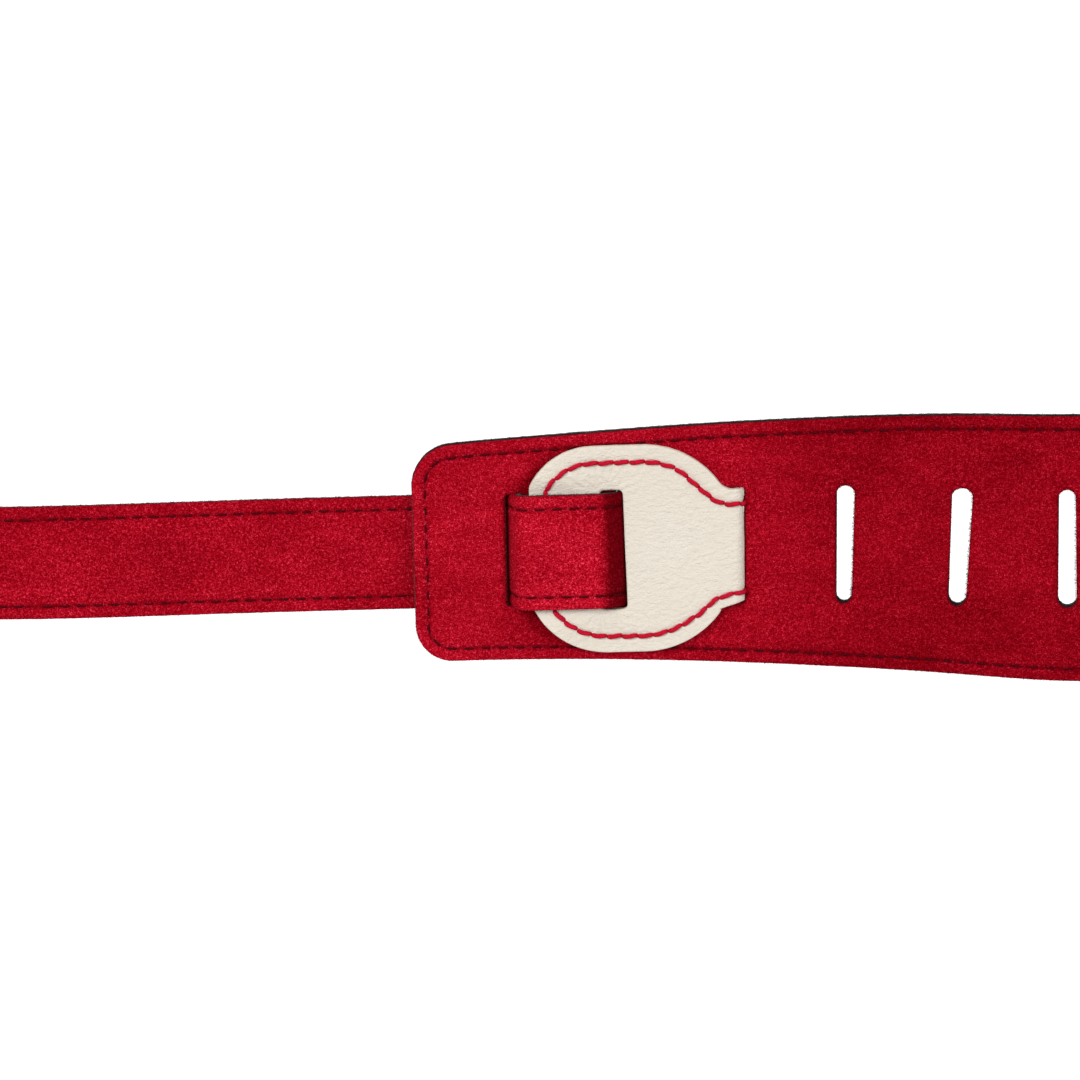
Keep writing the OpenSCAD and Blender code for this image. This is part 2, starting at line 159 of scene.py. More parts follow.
def noise(x, y, size, seed):
    """Smooth repeatable noise from -1 to 1 with features of that size."""
    grid = np.random.default_rng(seed).uniform(-1, 1, (97, 89))
    gx, gy = np.asarray(x) / size, np.asarray(y) / size
    ix, iy = np.floor(gx).astype(int), np.floor(gy).astype(int)
    fx, fy = smooth(gx - ix), smooth(gy - iy)
    at = lambda i, j: grid[i % 97, j % 89]
    low = at(ix, iy) * (1 - fx) + at(ix + 1, iy) * fx
    high = at(ix, iy + 1) * (1 - fx) + at(ix + 1, iy + 1) * fx
    return low * (1 - fy) + high * fy


def arc(centre, r, start, end, step=0.7):
    """Points on an arc, with angles in degrees."""
    n = max(4, int(abs(math.radians(end - start)) * r / step) + 1)
    a = np.radians(np.linspace(start, end, n + 1))
    return np.stack([centre[0] + r * np.cos(a), centre[1] + r * np.sin(a)], axis=1)


def spaced(points, step, closed=False):
    """The same line with its points evenly spaced, about step apart."""
    points = np.asarray(points, float)
    if closed:
        points = np.vstack([points, points[:1]])
    along = np.concatenate([[0], np.cumsum(np.linalg.norm(np.diff(points, axis=0), axis=1))])
    n = max(2, int(round(along[-1] / step)))
    at = np.linspace(0, along[-1], n + 1)
    line = np.stack([np.interp(at, along, points[:, k]) for k in range(2)], axis=1)
    return line[:-1] if closed else line


def mirrored(upper):
    """A closed outline from its upper half, run from low u to high u, turned anticlockwise."""
    return np.vstack([upper * [1, -1], upper[::-1]])


# ---------------------------------------------------------------- the layers' plans and heights


def deck(s):
    return DECK_Z * (1 - smooth((s - DECK_END) / DECK_SLOPE))


def band_half(s):
    s = np.asarray(s, float)
    wide = SLOTTED_HALF + (BAND_HALF - SLOTTED_HALF) * smooth((s - TAPER[0]) / (TAPER[1] - TAPER[0]))
    end = BAND_LENGTH - BUTTON_HALF
    return wide - (BAND_HALF - BUTTON_HALF) * smooth((s - TAPER[2]) / (end - TAPER[2]))


def bulge(s):
    """The worn upper edge: eased in at the end's corner and a little swollen past it."""
    return 0.85 * np.exp(-(((s - 68) / 45) ** 2)) - 2.2 * np.exp(-np.maximum(s, 0) / 13)


def band_upper(low, high, inset=0.0):
    """The upper edge of the band between two cuts, inset from the outline."""
    parts = []
    if low <= 0:
        parts.append(arc((END_CORNER_R, SLOTTED_HALF - END_CORNER_R), END_CORNER_R - inset, 180, 90))
        low = END_CORNER_R + 0.5
    straight_end = min(high, BAND_LENGTH - BUTTON_HALF)
    s = np.linspace(low, straight_end, int((straight_end - low) / 0.9) + 2)
    parts.append(np.stack([s, band_half(s) - inset], axis=1))
    if high >= BAND_LENGTH:
        parts.append(arc((BAND_LENGTH - BUTTON_HALF, 0), BUTTON_HALF - inset, 88, 0))
    return np.vstack(parts)


def slot_loop(i, grow=0.0):
    """One slot's outline, clockwise so that the suede is on its left.

    The first three, which the weave fills, fit it closely. The last three line up with the tail and the neck
    when these are slid all the way along."""
    w, half = SLOT_HALF_WIDTHS[i] + grow, SLOT_HALF_LENGTHS[i] + grow
    narrowing, lean, aside, along = SLOT_CUTS.get(i, (0, 0, 0, 0))
    r = (0.6, w, 1.4)[i // 3]
    corner = lambda x, y, a: arc((x * (w - r), y * (half - r)), r, a, a - 90, 0.35)
    loop = np.vstack([corner(1, 1, 90), corner(1, -1, 0), corner(-1, -1, -90), corner(-1, 1, 180)])
    wobble = 0.08 * noise(loop[:, 1], loop[:, 0], 7, 40 + i)
    high = loop[:, 1] / half
    loop = np.stack([loop[:, 0] * (1 + narrowing * high) + aside + lean * high, loop[:, 1] + along], axis=1)
    s = SLOT_FIRST + SLOT_PITCH * i - (FIRST_SLOT_BACK if i == 0 else 0.0)
    y = bend_aside(s - LAST_STEP * SLOT_PITCH) - bend_aside(s) if i >= LAST_STEP else 0.0
    return loop + [s, y] + np.stack([wobble, 0 * wobble], axis=1)


class Fold:
    """A line in the s, z plane that a ply follows; u runs along it and h stands out of it."""

    def __init__(self, points, anchor, at_u):
        line = spaced(points, 0.12)
        along = np.concatenate([[0], np.cumsum(np.linalg.norm(np.diff(line, axis=0), axis=1))])
        self.u = along + at_u - along[anchor]
        self.line = line
        slope = np.gradient(line, axis=0)
        even = lambda c: np.convolve(np.pad(c, 4, "edge"), np.ones(9) / 9, "valid")
        slope = np.stack([even(c) for c in slope.T], axis=1)
        slope /= np.linalg.norm(slope, axis=1)[:, None]
        self.normal = np.stack([-slope[:, 1], slope[:, 0]], axis=1)

    def at(self, u, h):
        pick = lambda v: np.interp(u, self.u, v)
        return tuple(pick(self.line[:, k]) + h * pick(self.normal[:, k]) for k in range(2))


def tail_fold():
    tan = lambda a: math.tan(math.radians(a))
    r = TAIL_BENDS
    foot = SLOT_A + RISE_SHIFT - (BAND_TOP - TAIL_LOW_Z) / tan(RISE_ANGLE)
    crest = SLOT_A + RISE_SHIFT + (BRIDGE_Z - BAND_TOP) / tan(RISE_ANGLE)
    brink = SLOT_B + FALL_SHIFT - (BRIDGE_Z - BAND_TOP) / tan(FALL_ANGLE)
    ground = SLOT_B + FALL_SHIFT + (BAND_TOP - LANDING_Z) / tan(FALL_ANGLE)
    half_rise, half_fall = tan(RISE_ANGLE / 2), tan(FALL_ANGLE / 2)
    points = np.vstack([
        [[-TAIL_LENGTH - 2, TAIL_LOW_Z]],
        arc((foot - r[0] * half_rise, TAIL_LOW_Z + r[0]), r[0], -90, RISE_ANGLE - 90, 0.1),
        arc((crest + r[1] * half_rise, BRIDGE_Z - r[1]), r[1], RISE_ANGLE + 90, 90, 0.1),
        arc((brink - r[2] * half_fall, BRIDGE_Z - r[2]), r[2], 90, 90 - FALL_ANGLE, 0.1),
        arc((ground + r[3] * half_fall, LANDING_Z + r[3]), r[3], -90 - FALL_ANGLE, -90, 0.1),
        [[LAP_END, LANDING_Z]]])
    return Fold(points, 0, -TAIL_LENGTH - 2)


def lock_fold(d, lap_z):
    """The middle line of a lock tab ply, d outside the fold between the plies. u = 0 at the head's end."""
    centre_x = FOLD_X - FOLD_R
    points = np.vstack([
        [[HEAD_LEFT, HEAD_Z + d]],
        arc((centre_x, HEAD_Z - FOLD_R), FOLD_R + d, 90, 0, 0.1),
        arc((centre_x, FOLD_LOW_Z + FOLD_R), FOLD_R + d, 0, -90, 0.1),
        [[SLOT_B + 24, FOLD_LOW_Z - d], [LAP_END, lap_z], [LAP_START + 0.1, lap_z]]])
    return Fold(points, 0, 0.0)


TAIL_FOLD = tail_fold()
LAP_U = float(np.interp(LAP_START, TAIL_FOLD.line[-300:, 0], TAIL_FOLD.u[-300:]))
TAIL_END_U = float(TAIL_FOLD.u[-1])


def bridge_u(s):
    """Where the bridge, which is the tail where it is higher than 9 mm, passes over s."""
    line = TAIL_FOLD.line
    return float(TAIL_FOLD.u[np.argmin(np.abs(line[:, 0] - s) + 9 * (line[:, 1] < 9))])


BRIDGE_U = bridge_u(SLOT_A + 2), bridge_u(SLOT_B - 4)


def band_place(low):
    """Where a band layer lies, its underside low above the band's own."""

    def place(u, v, h):
        return to_frame(u, v, deck(u) + low + h + 0.12 * noise(u, v, 34, 3) * smooth((u - 270) / 80))

    return place


def tail_place(low):
    """Where a tail layer lies. It is pared down between the lock tab's plies."""

    def place(u, v, h):
        pared = 1 - 0.42 * smooth((u - LAP_U + 1.5) / 3)
        on_bridge = smooth((u - BRIDGE_U[0] + 2) / 4) * smooth((BRIDGE_U[1] - u + 2) / 4)
        sag = -0.22 * on_bridge * (np.abs(v) / TAIL_HALF) ** 3
        s, z = TAIL_FOLD.at(u, (low + h - TAIL_T / 2) * pared + sag)
        return to_frame(s, v - TAIL_ASIDE * smooth((TAIL_ASIDE_END - s) / TAIL_ASIDE_END), z)

    return place


# ---------------------------------------------------------------- meshes


def new_object(name, points, faces, material):
    mesh = bpy.data.meshes.new(name)
    mesh.from_pydata(np.asarray(points).tolist(), [], faces)
    mesh.polygons.foreach_set("use_smooth", [True] * len(mesh.polygons))
    mesh.set_sharp_from_angle(angle=math.radians(58))
    mesh.materials.append(material)
    obj = bpy.data.objects.new(name, mesh)
    bpy.context.scene.collection.objects.link(obj)
    return obj


def left_normals(line, closed):
    ahead = np.roll(line, -1, axis=0) - np.roll(line, 1, axis=0)
    if not closed:
        ahead[0], ahead[-1] = line[1] - line[0], line[-1] - line[-2]
    ahead /= np.maximum(np.linalg.norm(ahead, axis=1)[:, None], 1e-9)
    return np.stack([-ahead[:, 1], ahead[:, 0]], axis=1)


def inside(points, loops):
    """Which points lie inside the first loop and outside the others."""
    found = np.zeros(len(points), bool)
    for loop in loops:
        a, b = loop, np.roll(loop, -1, axis=0)
        for i in range(0, len(points), 4000):
            p = points[i:i + 4000, None, :]
            crosses = (a[:, 1] > p[..., 1]) != (b[:, 1] > p[..., 1])
            with np.errstate(divide="ignore", invalid="ignore"):
                x = a[:, 0] + (p[..., 1] - a[:, 1]) * (b[:, 0] - a[:, 0]) / (b[:, 1] - a[:, 1])
            found[i:i + 4000] ^= (np.sum(crosses & (p[..., 0] < x), axis=1) % 2).astype(bool)
    return found


def distances(points, samples):
    """How far each point is from the nearest sample, up to 50."""
    if not len(samples):
        return np.full(len(points), 50.0)
    tree = KDTree(len(samples))
    for i, q in enumerate(samples):
        tree.insert((q[0], q[1], 0), i)
    tree.balance()
    return np.array([min(50.0, tree.find((p[0], p[1], 0))[2]) for p in points])


def hexagonal(low, high, half, step):
    """Points of a triangular grid over a stretch of strap."""
    rows = np.arange(-half, half, step * 0.866)
    out = []
    for k, y in enumerate(rows):
        x = np.arange(low + (k % 2) * step / 2, high, step)
        out.append(np.stack([x, np.full(len(x), y)], axis=1))
    return np.vstack(out)


RIM = (0.07, 0.2, 0.42, 0.8, 1.4)
SEAM_OFFSETS = (-1.0, -0.55, -0.25, 0.0, 0.25, 0.55, 1.0)


def ply(name, loops, cuts, place, thickness, material, guides=(), relief=None, under=None,
        rim=(0.4, 0.15), near_step=1.5, far_step=4.0, shade=None, nap=None,
        rough=0.05):
    """One layer as a closed mesh, laid out flat and then put in place.

    loops are its outline and holes, and cuts are the u values where it is cut across, which get no rounded
    rim. guides are lines in the plan that need finer mesh, and relief and under raise the two surfaces."""
    real = [p for loop in loops for p in loop if all(abs(p[0] - c) > 0.3 for c in cuts)]
    points, edges, start = [], [], 0
    for loop in loops:
        n = len(loop)
        points.append(loop)
        edges += [(start + i, start + (i + 1) % n) for i in range(n)]
        start += n
    for loop in loops:
        for d in RIM:
            ring = loop + left_normals(loop, True) * d
            points.append(ring[inside(ring, loops)])
    for guide in guides:
        normal = left_normals(guide, False)
        for d in SEAM_OFFSETS:
            line = guide + normal * d
            points.append(line[inside(line, loops)])
    low, high = loops[0].min(0), loops[0].max(0)
    zones = [(low[0], min(high[0], NEAR[0]), far_step),
             (max(low[0], NEAR[0]), min(high[0], NEAR[1]), near_step),
             (max(low[0], NEAR[1]), high[0], far_step)]
    fill = np.vstack([hexagonal(a, b, high[1], step) for a, b, step in zones if b > a])
    fill = fill[inside(fill, loops)]
    border = np.vstack(list(loops))
    lines = np.vstack(list(guides)) if guides else np.zeros((0, 2))
    fill = fill[(distances(fill, border) > 1.9) & (distances(fill, lines) > 1.5)]
    points = np.vstack(points + [fill])

    made = delaunay_2d_cdt([Vector(p) for p in points], edges, [], 0, 1e-3)
    flat = np.array([tuple(p) for p in made[0]])
    triangles = np.array([tuple(t) for t in made[2]])
    triangles = triangles[inside(flat[triangles].mean(axis=1), loops)]
    used, triangles = np.unique(triangles, return_inverse=True)
    flat, triangles = flat[used], triangles.reshape(-1, 3)
    a, b, c = (flat[triangles[:, i]] for i in range(3))
    ab, ac = b - a, c - a
    turned = ab[:, 0] * ac[:, 1] - ab[:, 1] * ac[:, 0] < 0
    triangles[turned] = triangles[turned][:, [0, 2, 1]]

    u, v = flat[:, 0], flat[:, 1]
    gap = distances(flat, real)
    rounded = lambda r: r - np.sqrt(np.maximum(0, r * r - (r - gap) ** 2))
    drop = lambda r: np.where(gap < r, rounded(r), 0.0) if r else 0 * gap
    top = thickness - drop(rim[0]) + (relief(u, v) if relief else 0)
    bottom = drop(rim[1]) + (under(u, v) if under else 0)
    n = len(flat)

    # The edges that only one triangle has are the border, and the walls stand on them.
    pairs = np.vstack([triangles[:, [0, 1]], triangles[:, [1, 2]], triangles[:, [2, 0]]])
    keys = {(int(i), int(j)) for i, j in pairs}
    border_edges = [(i, j) for i, j in keys if (j, i) not in keys]
    on_border = sorted({i for e in border_edges for i in e})
    place_in_row = {i: k for k, i in enumerate(on_border)}
    outward = np.zeros((n, 2))
    for i, j in border_edges:
        along = flat[j] - flat[i]
        outward[i] += [along[1], -along[0]]
        outward[j] += [along[1], -along[0]]
    outward /= np.maximum(np.linalg.norm(outward, axis=1)[:, None], 1e-9)
    coords = [place(u, v, top), place(u, v, bottom)]
    rows, ids = (0.3, 0.7), np.array(on_border)
    at_cut = gap[ids] > 0.3
    random = np.random.default_rng(len(name) + n)
    for k, share in enumerate(rows):
        out = np.where(at_cut, 0.0, 0.05 + rough * random.uniform(-1, 1, len(ids)))
        p = flat[ids] + outward[ids] * out[:, None]
        coords.append(place(p[:, 0], p[:, 1], top[ids] * (1 - share) + bottom[ids] * share))
    m = len(ids)
    row = [lambda i: i, lambda i: 2 * n + place_in_row[i],
           lambda i: 2 * n + m + place_in_row[i], lambda i: n + i]
    faces = [tuple(int(q) for q in t) for t in triangles]
    faces += [(int(t[0]) + n, int(t[2]) + n, int(t[1]) + n) for t in triangles]
    for i, j in border_edges:
        for r in range(3):
            faces.append((row[r](j), row[r](i), row[r + 1](i), row[r + 1](j)))
    obj = new_object(name, np.vstack(coords), faces, material)
    area = float(np.abs(np.cross(flat[triangles[:, 1]] - flat[triangles[:, 0]],
                                 flat[triangles[:, 2]] - flat[triangles[:, 0]])).sum() / 2)
    size = loops[0].max(0) - loops[0].min(0)
    obj["flat"] = [float(size[1]) * MM, float(size[0]) * MM]
    obj["flat_area"] = area * MM * MM
    painted = [("shade", shade(u, v, gap))] if shade else []
    painted += [("nap", nap(u, v))] if nap else []
    for label, values in painted:
        rows_of = np.concatenate([values, values, values[ids], values[ids]])
        attribute = obj.data.attributes.new(label, "FLOAT", "POINT")
        attribute.data.foreach_set("value", rows_of.astype(np.float32))
    return obj


def stitches(name, runs, place, surface, material, pitch, length, width, height, sink, lobes=0,
             lean=0.0, around=8, steps=9, fullness=3.2):
    """Separate stitches along flat lines. Each rises out of its needle hole and goes down into the next."""
    random = np.random.default_rng(len(name) * 7 + len(runs))
    t = np.linspace(0, 1, steps)
    angle = np.linspace(0, 2 * math.pi, around, endpoint=False)
    coords, faces, base = [], [], 0
    for run in runs:
        line = spaced(run, pitch / 16)
        count = int((len(line) - 1) / 16)
        normal = left_normals(line, False)
        for k in range(count):
            first = k * 16
            share = length / pitch * random.uniform(0.95, 1.03)
            at = np.clip(first + 8 + (t - 0.5) * 16 * share, 0, len(line) - 1)
            cu, cv = (np.interp(at, np.arange(len(line)), line[:, i]) for i in range(2))
            nu, nv = (np.interp(at, np.arange(len(line)), normal[:, i]) for i in range(2))
            aside = lean * (t - 0.5) + random.uniform(-0.09, 0.09)
            plump = np.sqrt(np.maximum(0.0, 1 - np.abs(2 * t - 1) ** 5)) * 0.72 + 0.28
            rise = -sink + (height + sink) * (1 - np.abs(2 * t - 1) ** fullness)
            for i in range(steps):
                lobe = 1 + (0.13 * np.cos(lobes * angle + 9.0 * t[i]) if lobes else 0)
                across = np.cos(angle) * width / 2 * plump[i] * lobe + aside[i]
                up = (np.sin(angle) * 0.5 * height * plump[i] * lobe) + rise[i] - 0.5 * height
                coords.append(place(cu[i] + nu[i] * across, cv[i] + nv[i] * across,
                                    surface(cu[i], cv[i]) + up))
            for i in range(steps - 1):
                for j in range(around):
                    p, q = base + i * around + j, base + i * around + (j + 1) % around
                    faces.append((p, q, q + around, p + around))
            faces.append(tuple(base + j for j in reversed(range(around))))
            faces.append(tuple(base + (steps - 1) * around + j for j in range(around)))
            base += steps * around
    return new_object(name, np.vstack(coords), faces, material)


def fuzz(name, lines, place, material, per_mm, length, heights, seed):
    """Short fibres that stand out of a cut edge. The edge lines have the suede on their left."""
    random = np.random.default_rng(seed)
    coords, faces, base = [], [], 0
    for line in lines:
        line = spaced(line, 0.25)
        out = -left_normals(line, False)
        count = int(len(line) * 0.25 * per_mm)
        pick = random.uniform(0, len(line) - 1, count)
        at = [np.interp(pick, np.arange(len(line)), c) for c in (*line.T, *out.T)]
        h = random.uniform(*heights, count)
        reach = length * random.uniform(0.35, 1.0, count)
        drift = random.normal(0, 0.45, count) * reach
        lift = random.normal(0, 0.5, count) * reach
        thick = 0.035
        along_u, along_v = -at[3], at[2]
        root = np.stack([at[0] - at[2] * 0.15, at[1] - at[3] * 0.15, h], axis=1)
        tip = root + np.stack([at[2] * (reach + 0.15) + along_u * drift,
                               at[3] * (reach + 0.15) + along_v * drift, lift], axis=1)
        sway = np.stack([along_u * drift * 0.2, along_v * drift * 0.2, lift * 0.3], axis=1)
        middle = (root + tip) / 2 + sway
        side = np.stack([along_u * thick, along_v * thick, 0 * h], axis=1)
        tall = np.array([0, 0, thick])
        rings = [root - side, root + side, root + tall, middle - side * 0.7, middle + side * 0.7,
                 middle + tall * 0.7, tip]
        flat = np.stack(rings, axis=1).reshape(-1, 3)
        coords.append(place(flat[:, 0], flat[:, 1], flat[:, 2]))
        for k in range(count):
            b = base + 7 * k
            faces += [(b, b + 1, b + 4, b + 3), (b + 1, b + 2, b + 5, b + 4), (b + 2, b, b + 3, b + 5),
                      (b + 3, b + 4, b + 6), (b + 4, b + 5, b + 6), (b + 5, b + 3, b + 6)]
        base += 7 * count
    return new_object(name, np.vstack(coords), faces, material)


# ---------------------------------------------------------------- materials


class Nodes:
    """A material's node tree, built with short calls."""

    def __init__(self, name):
        self.material = bpy.data.materials.new(name)
        self.material.use_nodes = True
        self.tree = self.material.node_tree
        self.shader = self.tree.nodes["Principled BSDF"]
        self.coords = self.add("ShaderNodeTexCoord").outputs["Object"]

    def add(self, kind, **settings):
        node = self.tree.nodes.new(kind)
        for key, value in settings.items():
            setattr(node, key, value)
        return node

    def link(self, source, target):
        self.tree.links.new(source, target)

    def noise(self, scale, detail=3.0, roughness=0.6, stretch=(1, 1, 1), turn=0.0):
        where = self.coords
        if stretch != (1, 1, 1) or turn:
            mapping = self.add("ShaderNodeMapping")
            mapping.inputs["Scale"].default_value = stretch
            mapping.inputs["Rotation"].default_value = (0, 0, turn)
            self.link(where, mapping.inputs["Vector"])
            where = mapping.outputs["Vector"]
        node = self.add("ShaderNodeTexNoise")
        node.inputs["Scale"].default_value = scale
        node.inputs["Detail"].default_value = detail
        node.inputs["Roughness"].default_value = roughness
        self.link(where, node.inputs["Vector"])
        return node.outputs["Fac"]

    def math(self, operation, a, b=None, clamp=False):
        node = self.add("ShaderNodeMath", operation=operation, use_clamp=clamp)
        for socket, value in zip(node.inputs, (a, b)):
            if isinstance(value, (int, float)):
                socket.default_value = value
            elif value is not None:
                self.link(value, socket)
        return node.outputs[0]

    def ramp(self, factor, stops):
        node = self.add("ShaderNodeValToRGB")
        elements = node.color_ramp.elements
        while len(elements) < len(stops):
            elements.new(0.5)
        for element, (position, colour) in zip(elements, stops):
            element.position = position
            element.color = (*colour, 1)
        self.link(factor, node.inputs["Fac"])
        return node.outputs["Color"]

    def mix(self, factor, a, b, blend="MIX"):
        node = self.add("ShaderNodeMix", data_type="RGBA", blend_type=blend)
        for socket, value in ((node.inputs[0], factor), (node.inputs[6], a), (node.inputs[7], b)):
            if isinstance(value, (int, float)):
                socket.default_value = value
            elif isinstance(value, tuple):
                socket.default_value = (*value, 1)
            else:
                self.link(value, socket)
        return node.outputs[2]

    def bump(self, height, strength, distance, below=None):
        node = self.add("ShaderNodeBump")
        node.inputs["Strength"].default_value = strength
        node.inputs["Distance"].default_value = distance
        self.link(height, node.inputs["Height"])
        if below is not None:
            self.link(below, node.inputs["Normal"])
        return node.outputs["Normal"]

    def attribute(self, name):
        return self.add("ShaderNodeAttribute", attribute_name=name).outputs["Fac"]

    def finish(self, colour, normal=None, roughness=0.9, specular=0.2, sheen=0.0, sheen_tint=(1, 1, 1)):
        self.link(colour, self.shader.inputs["Base Color"])
        if normal is not None:
            self.link(normal, self.shader.inputs["Normal"])
        self.shader.inputs["Roughness"].default_value = roughness
        self.shader.inputs["Specular IOR Level"].default_value = specular
        self.shader.inputs["Sheen Weight"].default_value = sheen
        self.shader.inputs["Sheen Roughness"].default_value = 0.4
        self.shader.inputs["Sheen Tint"].default_value = (*sheen_tint, 1)
        return self.material


def suede():
    n = Nodes("red suede")
    grain = n.noise(3100, 4, 0.7)
    tufts = n.noise(1250, 3, 0.65)
    cloud = n.noise(38, 3, 0.6, (1, 1.3, 1))
    brushed = n.noise(150, 3, 0.6, (0.45, 1.6, 1), 0.35)
    fleck = n.math("ADD", n.math("MULTIPLY", grain, 0.7), n.math("MULTIPLY", tufts, 0.3))
    colour = n.ramp(fleck, [(0.36, (0.085, 0.0001, 0.001)), (0.49, (0.245, 0.0010, 0.0050)),
                            (0.56, (0.385, 0.0040, 0.016)), (0.64, (0.68, 0.038, 0.080))])
    patches = n.math("ADD", n.math("MULTIPLY", cloud, 0.5), n.math("MULTIPLY", brushed, 0.5))
    patches = n.math("MULTIPLY", n.math("SUBTRACT", patches, 0.5), 1.3)
    # The nap attribute holds the suede's brushed tone, with a painted shadow round the lock tab's rear and
    # painted shade where the bridge turns down into the window.
    nap = n.math("ADD", n.attribute("nap"), patches, clamp=True)
    colour = n.mix(1.0, colour, n.ramp(nap, [(0.0, (0.62, 0.4, 0.5)), (0.5, (1.0, 1.0, 1.0)),
                                             (1.0, (1.45, 2.2, 1.9))]), "MULTIPLY")
    colour = n.mix(n.attribute("shade"), colour, (0.02, 0.0003, 0.0006))
    normal = n.bump(tufts, 0.35, 0.0006)
    normal = n.bump(grain, 0.5, 0.0003, normal)
    return n.finish(colour, normal, 1.0, 0.0, 0.08, (1.0, 0.06, 0.12))


def backing_cloth():
    n = Nodes("black brushed backing")
    grain = n.noise(2000, 4, 0.8)
    matted = n.noise(300, 3, 0.6)
    fleck = n.math("ADD", n.math("MULTIPLY", grain, 0.6), n.math("MULTIPLY", matted, 0.4))
    colour = n.ramp(fleck, [(0.35, (0.004, 0.0035, 0.0035)), (0.55, (0.016, 0.014, 0.014)),
                            (0.70, (0.10, 0.085, 0.075))])
    normal = n.bump(grain, 0.8, 0.0005, n.bump(matted, 0.4, 0.001))
    return n.finish(colour, normal, 1.0, 0.05, 0.25, (0.8, 0.7, 0.7))


def core_cloth():
    n = Nodes("dark interlining")
    colour = n.ramp(n.noise(1500, 3, 0.7), [(0.35, (0.006, 0.005, 0.005)), (0.7, (0.04, 0.03, 0.03))])
    return n.finish(colour, n.bump(n.noise(1800, 2), 0.5, 0.0003), 0.95, 0.1)


def cream_leather(name, lit=1.0, split=False):
    """Soft grained leather, or its rougher flesh side."""
    n = Nodes(name)
    pebble = n.add("ShaderNodeTexVoronoi", feature="DISTANCE_TO_EDGE")
    pebble.inputs["Scale"].default_value = 1150
    warp = n.add("ShaderNodeTexNoise")
    warp.inputs["Scale"].default_value = 700
    n.link(n.coords, warp.inputs["Vector"])
    n.link(n.mix(0.0009, n.coords, warp.outputs["Color"]), pebble.inputs["Vector"])
    pores = n.math("MULTIPLY", pebble.outputs["Distance"], 3.0, clamp=True)
    creases = n.noise(620, 5, 0.66, (0.75, 1.35, 1), -0.6)
    cloud = n.noise(60, 3, 0.5)
    fine = n.noise(2600, 3, 0.6)
    base = (0.615 * lit, 0.56 * lit, 0.478 * lit)
    light = (0.665 * lit, 0.615 * lit, 0.538 * lit)
    colour = n.mix(cloud, base, light)
    colour = n.mix(n.math("MULTIPLY", n.math("SUBTRACT", 1.0, pores), 0.12), colour, (0.50, 0.42, 0.32))
    colour = n.mix(n.math("MULTIPLY", n.attribute("shade"), 0.8), colour, (0.42, 0.33, 0.25))
    normal = n.bump(creases, 0.8, 0.0008)
    normal = n.bump(pores, 0.22, 0.00025, normal)
    normal = n.bump(fine, 0.12 if not split else 0.5, 0.0002, normal)
    return n.finish(colour, normal, 0.5 if not split else 0.85, 0.35 if not split else 0.15)


def thread(name, dark, light, shine):
    n = Nodes(name)
    strands = n.noise(3200, 2, 0.5, (1, 2.2, 1), 0.6)
    colour = n.ramp(strands, [(0.35, dark), (0.65, light)])
    return n.finish(colour, n.bump(strands, 0.6, 0.00025), 0.55, shine)


SUEDE = suede()
BACKING = backing_cloth()
CORE = core_cloth()
CREAM = cream_leather("cream leather")
LINING = cream_leather("cream leather flesh side", 0.94, True)
SEAM = thread("dark red thread", (0.018, 0.0003, 0.001), (0.11, 0.0008, 0.005), 0.03)
RED_THREAD = thread("red thread", (0.26, 0.0003, 0.008), (0.58, 0.003, 0.028), 0.08)


# ---------------------------------------------------------------- joining the pieces to the frame


def at_flex(s, z):
    return ((s - ORIGIN_S) * MM, 0.0, z * MM)


def across_flex(obj, first, second, flex, z, reach):
    """Bakes a piece's placement into its mesh. It is not bent between the two bodies."""
    at_flex(flex - reach, z)
    at_flex(flex + reach, z)
    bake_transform(obj)


def lay(obj):
    tuple(obj["flat"])
    min(obj["flat_area"],
             obj["flat"][0] * obj["flat"][1])


def join_tab(prefix, front, lining, sewn, body):
    """Hides the CAD nodes that a tab's pieces stand for, and attaches the pieces to the body they move with.
    """
    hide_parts(f"{prefix}_front")
    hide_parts(f"{prefix}_lining")
    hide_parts(f"{prefix}_stitching")
    for obj in (front, lining):
        lay(obj)
    for obj in (front, lining, sewn):
        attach(obj, body)


BAND_BODIES = ("band_front", "band_shoulder_a", "band_shoulder_b", "band_rear")
BAND_NODES = (BAND_BODIES[:2], BAND_BODIES[2:3], BAND_BODIES[3:])
BAND_SPANS = ((0.0, BAND_CUTS[0]), BAND_CUTS, (BAND_CUTS[1], BAND_LENGTH))


def bend_band(obj, i):
    across_flex(obj, BAND_BODIES[i], BAND_BODIES[i + 1], BAND_FLEX[i], BAND_T / 2, BAND_REACH)


def bend_tail(obj, i):
    bodies = ("tail_weave", "tail_mid", "tail_end")
    across_flex(obj, bodies[i], bodies[i + 1], TAIL_FLEX[i], TAIL_LOW_Z, TAIL_REACHES[i])


# ---------------------------------------------------------------- the band


def worn(line):
    """The same line with the upper edge's bulge, which fades away towards the middle."""
    s, y = line.T
    return np.stack([s, y + bulge(s) * smooth(y / 20)], axis=1)


def band_loops(i, inset=0.0, holes=0.0, high=None, shift=0.0):
    """The outline of one piece of a band layer, and the slots in the first piece."""
    low, end = BAND_SPANS[i]
    high = end if high is None else high
    upper = band_upper(low, high, inset)
    loop = worn(mirrored(upper))
    if high < BAND_LENGTH:
        y = float(upper[-1, 1])
        gap = np.linspace(-y, y, int(2 * y / 1.5) + 1)[1:-1]
        loop = np.insert(loop, len(upper), np.stack([np.full(len(gap), high), gap], axis=1), axis=0)
    (x, last), first = loop[-1], loop[0][1]
    gap = np.linspace(last, first, int(abs(last - first) / 1.5) + 2)[1:-1]
    loop = np.vstack([loop, np.stack([np.full(len(gap), x), gap], axis=1)])
    slots = [slot_loop(k, holes) + np.array([shift, 1.4 * shift]) * (3 <= k < 6)
             for k in range(SLOT_COUNT)] if i == 0 else []
    return [loop] + slots


